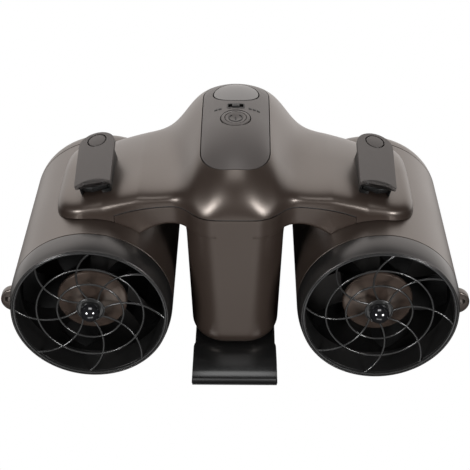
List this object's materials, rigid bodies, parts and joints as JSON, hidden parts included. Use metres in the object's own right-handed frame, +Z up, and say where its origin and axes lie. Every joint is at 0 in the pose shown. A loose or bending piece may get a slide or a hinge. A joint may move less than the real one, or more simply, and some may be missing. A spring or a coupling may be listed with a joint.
{
  "type": "underwater scooter",
  "caption": "Twin-duct underwater scooter with a raised middle body, a control panel, side grips and a stand under the nose.",
  "frame": {"origin": "on the floor under the middle of the whole object", "axes": "X across from the left pod to the right pod, Y back from the intakes to the tails, Z up"},
  "size_m": [0.458, 0.227, 0.2358],
  "materials": {
    "bronze_shell": "satin bronze-brown moulded plastic",
    "spinner_bronze": "satin dark bronze",
    "black_plastic": "black moulded plastic with a soft sheen",
    "gloss_black": "polished black plastic",
    "panel_grey": "fine-textured dark grey plastic",
    "window": "smooth dark grey window",
    "rubber": "matt black rubber",
    "steel": "stainless steel",
    "aluminium": "grey anodised",
    "cell_sleeve": "shrink-sleeved cells",
    "board": "green circuit board",
    "copper": "wound copper and laminations",
    "magnet": "plated magnet"
  },
  "bodies": {
    "scooter": {"top_cover": "bronze_shell", "lower_shell": "bronze_shell", "shell_gasket": "rubber", "cover_screws": "steel", "control_panel": "panel_grey", "display_window": "window", "display_board": "board", "battery_case": "black_plastic", "battery_cells": "cell_sleeve", "controller_board": "board", "charge_socket": "black_plastic", "stand": "black_plastic", "stand_sole": "rubber", "stand_screws": "steel", "duct_shell_left": "bronze_shell", "intake_ring_left": "black_plastic", "intake_guard_left": "black_plastic", "guard_cap_left": "gloss_black", "duct_liner_left": "black_plastic", "tail_ring_left": "bronze_shell", "motor_housing_left": "aluminium", "motor_stator_left": "copper", "motor_bearings_left": "steel", "shaft_seal_left": "rubber", "tail_cone_left": "black_plastic", "strap_lug_left": "bronze_shell", "duct_shell_right": "bronze_shell", "intake_ring_right": "black_plastic", "intake_guard_right": "black_plastic", "guard_cap_right": "gloss_black", "duct_liner_right": "black_plastic", "tail_ring_right": "bronze_shell", "motor_housing_right": "aluminium", "motor_stator_right": "copper", "motor_bearings_right": "steel", "shaft_seal_right": "rubber", "tail_cone_right": "black_plastic", "strap_lug_right": "bronze_shell", "grip_left": "panel_grey", "trigger_pin_left": "steel", "grip_right": "panel_grey", "trigger_pin_right": "steel"},
    "propeller_left": {"rotor_left": "black_plastic", "spinner_left": "spinner_bronze", "rotor_nut_left": "steel", "motor_shaft_left": "steel", "motor_magnet_left": "magnet"},
    "trigger_left": {"trigger_left": "gloss_black"},
    "thumb_button_left": {"thumb_button_left": "panel_grey"},
    "propeller_right": {"rotor_right": "black_plastic", "spinner_right": "spinner_bronze", "rotor_nut_right": "steel", "motor_shaft_right": "steel", "motor_magnet_right": "magnet"},
    "trigger_right": {"trigger_right": "gloss_black"},
    "thumb_button_right": {"thumb_button_right": "panel_grey"},
    "power_button": {"power_button": "panel_grey"},
    "mode_slider": {"mode_slider": "gloss_black"},
    "charge_cap": {"charge_cap": "rubber"}
  },
  "joints": [
    {"name": "propeller_left_spin", "type": "hinge", "parent": "scooter", "child": "propeller_left", "pos_m": [-0.139, -0.0605, 0.0787], "axis": [0, 1, 0], "continuous": true},
    {"name": "trigger_left_pull", "type": "hinge", "parent": "scooter", "child": "trigger_left", "pos_m": [-0.12498, -0.03447, 0.18422], "axis": [0.2148, 0.1219, -0.969], "range_deg": [0, 10], "stiffness_Nm_per_rad": 0.03},
    {"name": "thumb_button_left_press", "type": "slide", "parent": "scooter", "child": "thumb_button_left", "axis": [0.2148, 0.1219, -0.969], "range_m": [0, 0.0015], "stiffness_N_per_m": 150},
    {"name": "propeller_right_spin", "type": "hinge", "parent": "scooter", "child": "propeller_right", "pos_m": [0.139, -0.0605, 0.0787], "axis": [0, 1, 0], "continuous": true},
    {"name": "trigger_right_pull", "type": "hinge", "parent": "scooter", "child": "trigger_right", "pos_m": [0.12498, -0.03447, 0.18422], "axis": [0.2148, -0.1219, 0.969], "range_deg": [0, 10], "stiffness_Nm_per_rad": 0.03},
    {"name": "thumb_button_right_press", "type": "slide", "parent": "scooter", "child": "thumb_button_right", "axis": [-0.2148, 0.1219, -0.969], "range_m": [0, 0.0015], "stiffness_N_per_m": 150},
    {"name": "power_button_press", "type": "slide", "parent": "scooter", "child": "power_button", "axis": [0, 0.0347, -0.9994], "range_m": [0, 0.001], "stiffness_N_per_m": 150},
    {"name": "mode_slider_slide", "type": "slide", "parent": "scooter", "child": "mode_slider", "axis": [1, 0, 0], "range_m": [-0.004, 0.004]},
    {"name": "charge_cap_pull", "type": "slide", "parent": "scooter", "child": "charge_cap", "axis": [0, 1, 0], "range_m": [0, 0.008]}
  ]
}
